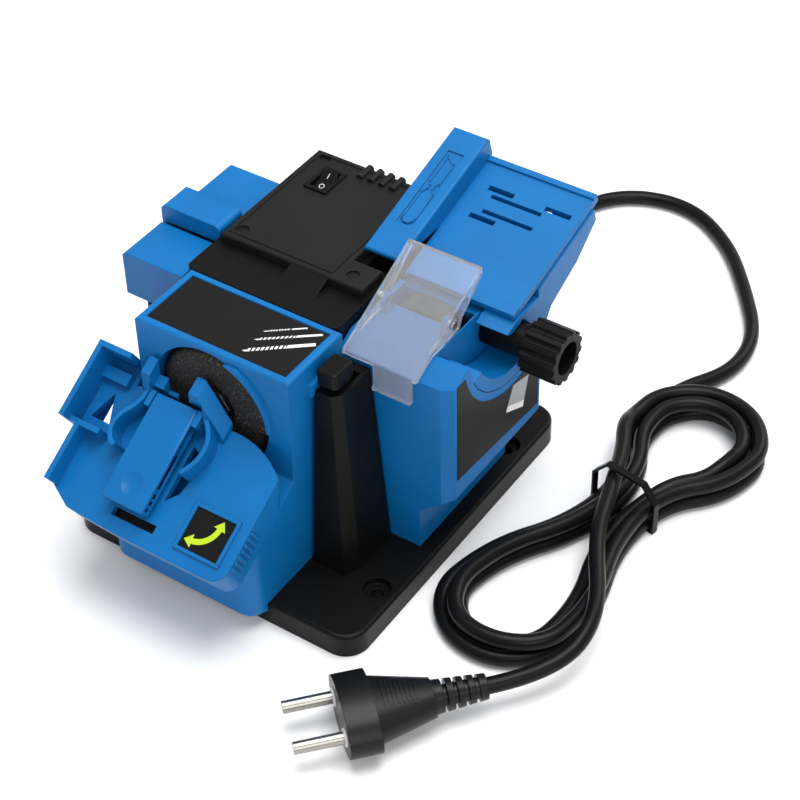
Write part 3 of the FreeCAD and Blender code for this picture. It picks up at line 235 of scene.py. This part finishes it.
def stations():
    """Places and headings along the three loops of the hank."""
    low = FLOOR
    high = low + LAYER
    down, right, up, left = (-1, 0), (0, 1), (1, 0), (0, -1)
    out = [(FAR, -LOBE, low, down)]
    loops = [(0, low, 0, low, low), (1, low, 1, low, high), (1, high, 0, high, high)]
    for i, (inset, z, inset_r, z_waist, z_far) in enumerate(loops):
        lobe, lobe_r = LOBE - STEP * inset, LOBE - STEP * inset_r
        s, t, h = bend(1, inset, -1)
        out += [(s, t, z, (-h[0], -h[1])), (0, -WAIST - STEP * (1 - inset), z, down)]
        s, t, h = bend(-1, inset, -1)
        out += [(s, t, z, h), (-NEAR, -lobe, z, down), (-NEAR - (lobe + lobe_r) / 2, 0, z, right),
                (-NEAR, lobe_r, z, up)]
        s, t, h = bend(-1, inset_r, 1)
        out += [(s, t, z, (-h[0], -h[1])), (0, WAIST + STEP * (1 - inset_r), z_waist, up)]
        s, t, h = bend(1, inset_r, 1)
        out += [(s, t, (z_waist + z_far) / 2, h), (FAR, lobe_r, z_far, up)]
        following = LOBE - STEP * (loops[i + 1][0] if i + 1 < len(loops) else 0)
        out += [(FAR + (lobe_r + following) / 2, 0, z_far, left), (FAR, -following, z_far, down)]
    s, t, h = bend(1, 0, -1)
    out += [(s, t, high + LAYER * 0.8, (-h[0], -h[1])), (-6.0, -2.0, high + LAYER, (-0.9, 0.436))]
    return out


def hank_controls():
    """Control points that carry the spline through the stations along their headings."""
    places, headings = [], []
    for s, t, z, (a, b) in stations():
        places.append(ORIGIN + ALONG * s + ACROSS * t + Vector((0, 0, z)))
        headings.append((ALONG * a + ACROSS * b).normalized())
    points = [places[0] - headings[0] * CORD_D]
    for p, tp, q, tq in zip(places, headings, places[1:], headings[1:]):
        v = q - p
        k = 2 * (1 - tp.dot(tq))
        vt = v.dot(tp + tq)
        d = v.dot(v) / (2 * vt) if k < 1e-6 else (math.sqrt(vt * vt + k * v.dot(v)) - vt) / k
        points += [p + tp * d, q - tq * d]
    points.append(places[-1] + headings[-1] * CORD_D)
    return points, headings


hank, headings = hank_controls()
lead = [(-8, 92, 24), (-8, 118, 24), (-8, 146, 13.5), (-7, 172, 4.4), (-3, 202, FLOOR), (12, 228, FLOOR),
        (42, 236, FLOOR), (70, 220, FLOOR), (92, 194, FLOOR), (110, 168, FLOOR), (112, 142.5, FLOOR)]
lead = [Vector(p) for p in lead] + [hank[0] - headings[0] * 18]
back = PLUG_START - PLUG_DIR * 26
tail = [hank[-1] + headings[-1] * 20, back + Vector((3.2, 25.7, 6.6)), back, PLUG_START]


def spline(name, points, radius, material):
    curve = bpy.data.curves.new(name, "CURVE")
    curve.dimensions = "3D"
    line = curve.splines.new("NURBS")
    line.points.add(len(points) - 1)
    for control, p in zip(line.points, points):
        control.co = (*(p * MM), 1.0)
    line.order_u = 3
    line.use_endpoint_u = True
    line.resolution_u = 12
    curve.bevel_depth = radius
    curve.bevel_resolution = 6
    curve.use_fill_caps = True
    curve.materials.append(material)
    piece = bpy.data.objects.new(name, curve)
    bpy.context.scene.collection.objects.link(piece)
    return piece


cord = spline("mains_lead", lead + hank + tail, CORD_D / 2 * MM, SHEATH)
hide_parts("cord_lead", "cord_hank", "cord_tail")
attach(cord, "frame")


# Labels and small mouldings, in millimetres in the part's frame
PRINT_T = 0.05
LABEL_T = 0.2
GAP = 0.02
UP = (0, 0, 1)
RIGHT = (1, 0, 0)
HEAD_SLOPE = math.radians(31.0)
HEAD_AT = (-64.5, 67.2)
HEAD_UP = (0.0, -math.sin(HEAD_SLOPE), math.cos(HEAD_SLOPE))
HEAD_FRONT = (0.0, -math.cos(HEAD_SLOPE), -math.sin(HEAD_SLOPE))
TABLE_SLOPE = math.radians(15.6)
TABLE_AT = (23.0, 102.2)
TABLE_UP = (0.0, -math.sin(TABLE_SLOPE), math.cos(TABLE_SLOPE))


def slab(name, outlines, normal, thick, material, body):
    """Thin closed plates: each outline of points is raised along the normal."""
    mesh = bpy.data.meshes.new(name)
    points, faces = [], []
    lift = Vector(normal).normalized() * thick
    for outline in outlines:
        n, first = len(outline), len(points)
        points += [Vector(p) * MM for p in outline]
        points += [(Vector(p) + lift) * MM for p in outline]
        faces.append([first + i for i in reversed(range(n))])
        faces.append([first + n + i for i in range(n)])
        for i in range(n):
            j = (i + 1) % n
            faces.append((first + i, first + j, first + n + j, first + n + i))
    mesh.from_pydata(points, [], faces)
    mesh.update()
    mesh.materials.append(material)
    piece = bpy.data.objects.new(name, mesh)
    bpy.context.scene.collection.objects.link(piece)
    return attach(piece, body)


def on_slope(at, angle, x, along, up):
    """Point on a slope about X, from its way up the slope and its height square to it."""
    c, s = math.cos(angle), math.sin(angle)
    return (x, at[0] + along * c - up * s, at[1] + along * s + up * c)


def on_head(u, w, h):
    return on_slope(HEAD_AT, HEAD_SLOPE, u, w, h)


def on_table(x, y, h):
    return on_slope(TABLE_AT, TABLE_SLOPE, x, y, h)


def rectangle(x0, x1, y0, y1):
    return [(x0, y0), (x1, y0), (x1, y1), (x0, y1)]


def arc(centre, r, a0, a1, n=18):
    """Points of an arc, angles in degrees."""
    turn = [math.radians(a0 + (a1 - a0) * i / n) for i in range(n + 1)]
    return [(centre[0] + r * math.cos(a), centre[1] + r * math.sin(a)) for a in turn]


def ring(r_in, r_out, n):
    """Flat ring of n quads about the origin."""
    turn = [2 * math.pi * i / n for i in range(n + 1)]
    quads = []
    for a, b in zip(turn, turn[1:]):
        corners = ((r_in, a), (r_out, a), (r_out, b), (r_in, b))
        quads.append([(r * math.cos(t), r * math.sin(t)) for r, t in corners])
    return quads


def swing_arrow():
    """Bent arrow with a head at both ends, as (u, w) outlines on the head's slope."""
    middle = (10.4, -24.6)
    r = 8.8
    half_band = 1.1
    half_head = 2.6
    head_len = 3.4
    start = -84.0
    end = -6.0
    shapes = [arc(middle, r + half_band, start, end) + arc(middle, r - half_band, end, start)]
    for angle, way in ((start, -1), (end, 1)):
        a = math.radians(angle)
        root = Vector((middle[0] + r * math.cos(a), middle[1] + r * math.sin(a)))
        along = Vector((-math.sin(a), math.cos(a))) * way
        out = Vector((math.cos(a), math.sin(a)))
        shapes.append([root + out * half_head, root + along * head_len, root - out * half_head][::way])
    return shapes


def drill_bit(start, end, r, z):
    """Plain drill bit seen from the side: point, fluted half with slanted lands, and shank."""
    tip = 1.2
    neck = 2.2
    flute_from = 1.6
    flute_share = 0.56
    shank_share = 0.6
    turns = 9
    a, b = Vector((*start, z)), Vector((*end, z))
    run = (b - a).normalized()
    side = Vector((-run.y, run.x, 0)) * r
    whole = (b - a).length
    shapes = [[a + run * tip - side, a + run * neck - side * 0.4, a + run * neck + side * 0.4, a]]
    step = run * (flute_share * whole / turns)
    for i in range(turns):
        p = a + run * flute_from + step * i
        shapes.append([p - side, p + step * 0.62 - side, p + step * 1.1 + side, p + step * 0.5 + side])
    shank = a + run * (whole * shank_share)
    shapes.append([shank - side, b - side, b + side, shank + side])
    return shapes


def outline_strips(outline, half):
    """Narrow strips along the sides of a closed outline."""
    strips = []
    for a, b in zip(outline, outline[1:] + outline[:1]):
        a, b = Vector(a), Vector(b)
        run = (b - a).normalized() * half
        side = Vector((-run.y, run.x))
        strips.append([a - run - side, b + run - side, b + run + side, a - run + side])
    return strips


def dished(name, node, centre, r, depth, body):
    """A node's shape with a round hollow in it, cut by a ball about a point above the head's slope."""
    ball_r = (r * r + depth * depth) / (2 * depth)
    work = bmesh.new()
    bmesh.ops.create_icosphere(work, subdivisions=6, radius=ball_r * MM)
    ball_mesh = bpy.data.meshes.new("ball")
    work.to_mesh(ball_mesh)
    work.free()
    ball = bpy.data.objects.new("ball", ball_mesh)
    u, w, h = centre
    ball.location = Vector(on_head(u, w, h + ball_r - depth)) * MM
    bpy.context.scene.collection.objects.link(ball)
    solid = nodes[node]
    cut = solid.modifiers.new("hollow", "BOOLEAN")
    cut.object = ball
    cut.solver = "EXACT"
    bpy.context.view_layer.update()
    mesh = bpy.data.meshes.new_from_object(solid.evaluated_get(bpy.context.evaluated_depsgraph_get()))
    mesh.transform(solid.matrix_world)
    solid.modifiers.clear()
    bpy.data.objects.remove(ball)
    piece = bpy.data.objects.new(name, mesh)
    bpy.context.scene.collection.objects.link(piece)
    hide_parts(node)
    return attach(piece, body)


# Swing arrow on the head
HEAD_LABEL = (7.0, 24.6, -37.0, -21.0)
ARROW_T = 0.06
label = [on_head(u, w, GAP) for u, w in rectangle(*HEAD_LABEL)]
slab("head_label", [label], HEAD_UP, LABEL_T, LABEL, "head")
arrow = [[on_head(u, w, GAP + LABEL_T + GAP) for u, w in shape] for shape in swing_arrow()]
slab("head_arrow", arrow, HEAD_UP, ARROW_T, LIME, "head")

# Thumb hollow of the lever, and a black sheet under the slot in front of it as painted shade, so that the
# slot reads dark
THUMB_AT = (-17.0, -25.0, 8.6)
THUMB_R = 4.5
THUMB_DEPTH = 1.0
SLOT = (-25.0, -3.6, -38.0, -33.8)
SHADE_SHEET_H = -3.32
SHADE_SHEET_T = 0.27
dished("thumb_lever", "clamp_lever", THUMB_AT, THUMB_R, THUMB_DEPTH, "lever")
# Black sheet just below the head's floor under the slot: painted shade that darkens the view through the
# slot
shade_sheet = [on_head(u, w, SHADE_SHEET_H) for u, w in rectangle(*SLOT)]
slab("slot_shade_sheet", [shade_sheet], HEAD_UP, SHADE_SHEET_T, BLACK, "head")

# Fine ribs on the back wall of the head's side box
BOX_RIBS = 7
BOX_FROM = -54.0
BOX_BACK = 15.85
BOX_LOW = 3.6
BOX_HIGH = 12.4
RIB_PITCH = 1.7
RIB_W = 0.8
RIB_T = 0.5
ribs = []
for i in range(BOX_RIBS):
    u = BOX_FROM + RIB_PITCH * i
    ribs.append([on_head(a, BOX_BACK, b) for a, b in rectangle(u, u + RIB_W, BOX_LOW, BOX_HIGH)])
slab("box_ribs", ribs, HEAD_FRONT, RIB_T, BLUE, "head")

# Panel on the drill housing with plain drill bits, each with its start, end and radius
DRILL_TOP = 103.9
DRILL_PANEL = (-36.7, 25.7, -50.7, -23.6)
PANEL_T = 0.25
BITS = (((4.0, -47.4), (24.6, -30.6), 0.8),
        ((4.1, -40.2), (23.6, -24.9), 0.55),
        ((4.1, -34.9), (16.8, -24.8), 0.35))
panel = [(x, y, DRILL_TOP + GAP) for x, y in rectangle(*DRILL_PANEL)]
slab("drill_label", [panel], UP, PANEL_T, LABEL, "frame")
bits = []
for start, end, r in BITS:
    bits += drill_bit(start, end, r, DRILL_TOP + GAP + PANEL_T + GAP)
slab("drill_bits", bits, UP, PRINT_T, PALE, "frame")

# Panel with a plain blade on the chisel housing, its upper edge round the table's seat
CHISEL_SIDE = 75.5
SEAT = (22.8, 103.9)
SEAT_R = 34.2
edge = [(-16.2, 51.0), (41.2, 46.0), (41.2, 58.8), (33.0, 70.0)]
edge += arc(SEAT, SEAT_R, -73, -168, 30) + [(-16.2, 96.6)]
blade = [(17.5, 59.1), (29.7, 53.0), (33.6, 66.5), (22.4, 69.3)]
bevel = [(17.5, 59.1), (29.7, 53.0), (30.5, 55.8), (18.5, 61.4)]
label_x = CHISEL_SIDE + GAP
blade_x = label_x + LABEL_T + GAP
bevel_x = blade_x + PRINT_T + GAP / 2
for name, outline, x, thick, material, slot in (
        ("chisel_label", edge, label_x, LABEL_T, LABEL, "black"),
        ("chisel_blade", blade, blade_x, PRINT_T, GREY, "steel"),
        ("chisel_bevel", bevel, bevel_x, PRINT_T, PALE, "steel")):
    slab(name, [[(x, y, z) for y, z in outline]], RIGHT, thick, material, "frame")

# Rocker as wide as its frame allows, with on and off marks on its two faces
ROCKER_X = -26.3
ROCKER_HALF = 3.3
FACE_RUN = 4.6
rocker = [(42.9, 106.6), (47.5, 107.6), (52.1, 110.0), (51.7, 104.0), (47.5, 102.0), (43.5, 103.0)]
side = [(ROCKER_X - ROCKER_HALF, y, z) for y, z in rocker]
cap = slab("rocker_cap", [side], RIGHT, 2 * ROCKER_HALF, BLACK, "rocker")
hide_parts("power_rocker")
rings = ring(0.9, 1.15, 20)
bars = [rectangle(-0.14, 0.14, -1, 1)]
for name, shapes, y, z, face_rise in (
        ("off_mark", rings, 45.0, 107.1, 1.0),
        ("on_mark", bars, 49.8, 108.82, 2.4)):
    tilt = math.atan2(face_rise, FACE_RUN)
    outlines = [[(ROCKER_X + a, y + b, z + b * math.tan(tilt)) for a, b in shape] for shape in shapes]
    slab(name, outlines, (0, -math.sin(tilt), math.cos(tilt)), PRINT_T, PALE, "rocker")

# Chisel outline raised in the fence's recess: round handle, neck and bevelled blade
TOOL_X = 16.9
TOOL_Y = 12.5
RECESS_H = 8.42
LINE_HALF = 0.35
LINE_T = 0.45
tool = arc((2.6, 5.0), 2.6, 180, 360, 12)
tool += [(5.2, 18.0), (3.7, 20.0), (3.7, 22.0), (4.7, 23.5), (4.7, 34.0)]
tool += [(0.5, 37.0), (0.5, 23.5), (1.5, 22.0), (1.5, 20.0), (0.0, 18.0)]
strips = []
for strip in outline_strips(tool, LINE_HALF):
    strips.append([on_table(TOOL_X + p.x, TOOL_Y + p.y, RECESS_H) for p in strip])
slab("fence_outline", strips, TABLE_UP, LINE_T, BLUE, "carriage")

# Raised border of the top cover
BORDER = (-39.0, 9.0, 2.0, 62.0)
BORDER_W = 1.0
BORDER_Z = 107.95
BORDER_T = 0.4
x0, x1, y0, y1 = BORDER
inner_y0 = y0 + BORDER_W
inner_y1 = y1 - BORDER_W
sides = ((x0, x1, y0, inner_y0), (x0, x0 + BORDER_W, inner_y0, inner_y1),
         (x0, x1, inner_y1, y1), (x1 - BORDER_W, x1, inner_y0, inner_y1))
border = [[(x, y, BORDER_Z) for x, y in rectangle(*side)] for side in sides]
slab("cover_border", border, UP, BORDER_T, COVER, "frame")

# Grip ribs across the plug's taper, from a little above its skin to a little below it
GRIP_RIBS = 8
GRIP_FROM = 26.0
GRIP_PITCH = 1.7
GRIP_T = 0.8
GRIP_TURN = 28
TAPER_FROM = 20.0
TAPER_LEN = 22.0
plug_way = PLUG_DIR.normalized()
plug_side = Vector((-plug_way.y, plug_way.x, 0.0))
turn = [math.radians(90 + GRIP_TURN * k / 5) for k in range(-5, 6)]
rim = [(math.cos(a), math.sin(a), 0.3) for a in turn]
rim += [(math.cos(a), math.sin(a), -0.4) for a in reversed(turn)]
ribs = []
for i in range(GRIP_RIBS):
    x = GRIP_FROM + GRIP_PITCH * i
    share = (x - TAPER_FROM) / TAPER_LEN
    half_w = 8.0 + 6.5 * share
    half_h = 6.6 + 3.0 * share
    middle = PLUG_START + plug_way * x
    ribs.append([middle + plug_side * (half_w * c) + Vector((0, 0, half_h * h + lift))
                 for c, h, lift in rim])
slab("plug_ribs", ribs, plug_way, GRIP_T, PLUG, "frame")

# Pale collars where the plug's pins leave its face
PIN_PITCH = 19.0
PLUG_NOSE = 54.0
COLLAR_R_IN = 2.45
COLLAR_R_OUT = 3.5
COLLAR_T = 0.7
flat = ring(COLLAR_R_IN, COLLAR_R_OUT, 24)
for i, place in enumerate((-PIN_PITCH / 2, PIN_PITCH / 2)):
    centre = PLUG_START + plug_way * PLUG_NOSE + plug_side * place
    quads = [[centre + plug_side * a + Vector((0, 0, b)) for a, b in quad] for quad in flat]
    slab("pin_collar_%d" % (i + 1), quads, plug_way, COLLAR_T, PALE, "frame")


# Stage, light and camera at the photo's angle
floor_mesh = bpy.data.meshes.new("floor")
floor_mesh.from_pydata([(-4, -4, 0), (4, -4, 0), (4, 4, 0), (-4, 4, 0)], [], [(0, 1, 2, 3)])
floor = bpy.data.objects.new("floor", floor_mesh)
floor.location.z = -0.0002
bpy.context.scene.collection.objects.link(floor)
paper = Shader("white paper")
paper.link(paper.ramp(paper.noise(3.0), [(0.3, (0.93, 0.93, 0.93)), (0.7, (0.95, 0.95, 0.95))]),
           paper.bsdf.inputs["Base Color"])
paper.set(Roughness=0.9, Specular_IOR_Level=0.1)
floor_mesh.materials.append(paper.material)

world = bpy.data.worlds.new("studio")
world.use_nodes = True
world.node_tree.nodes["Background"].inputs["Color"].default_value = (1.0, 1.0, 1.0, 1.0)
world.node_tree.nodes["Background"].inputs["Strength"].default_value = 0.55
bpy.context.scene.world = world


def soft_light(name, place, size, power):
    data = bpy.data.lights.new(name, "AREA")
    data.shape = "DISK"
    data.size = size
    data.energy = power
    light = bpy.data.objects.new(name, data)
    light.location = place
    light.rotation_euler = (Vector((0.02, 0.02, 0.06)) - Vector(place)).to_track_quat("-Z", "Y").to_euler()
    bpy.context.scene.collection.objects.link(light)


soft_light("key", (0.15, 0.1, 1.6), 1.2, 24.0)
soft_light("fill", (1.1, -0.9, 0.9), 1.0, 7.0)
soft_light("rim", (0.3, 1.4, 1.1), 1.0, 8.0)

lens = bpy.data.cameras.new("camera")
lens.lens = 94.72
lens.sensor_width = 36.0
lens.clip_start = 0.01
camera = bpy.data.objects.new("camera", lens)
camera.location = (0.37515, -0.48338, 0.59668)
camera.rotation_euler = [math.radians(a) for a in (47.691, 1.09, 33.787)]
bpy.context.scene.collection.objects.link(camera)
bpy.context.scene.camera = camera
bpy.context.scene.view_settings.view_transform = "Standard"
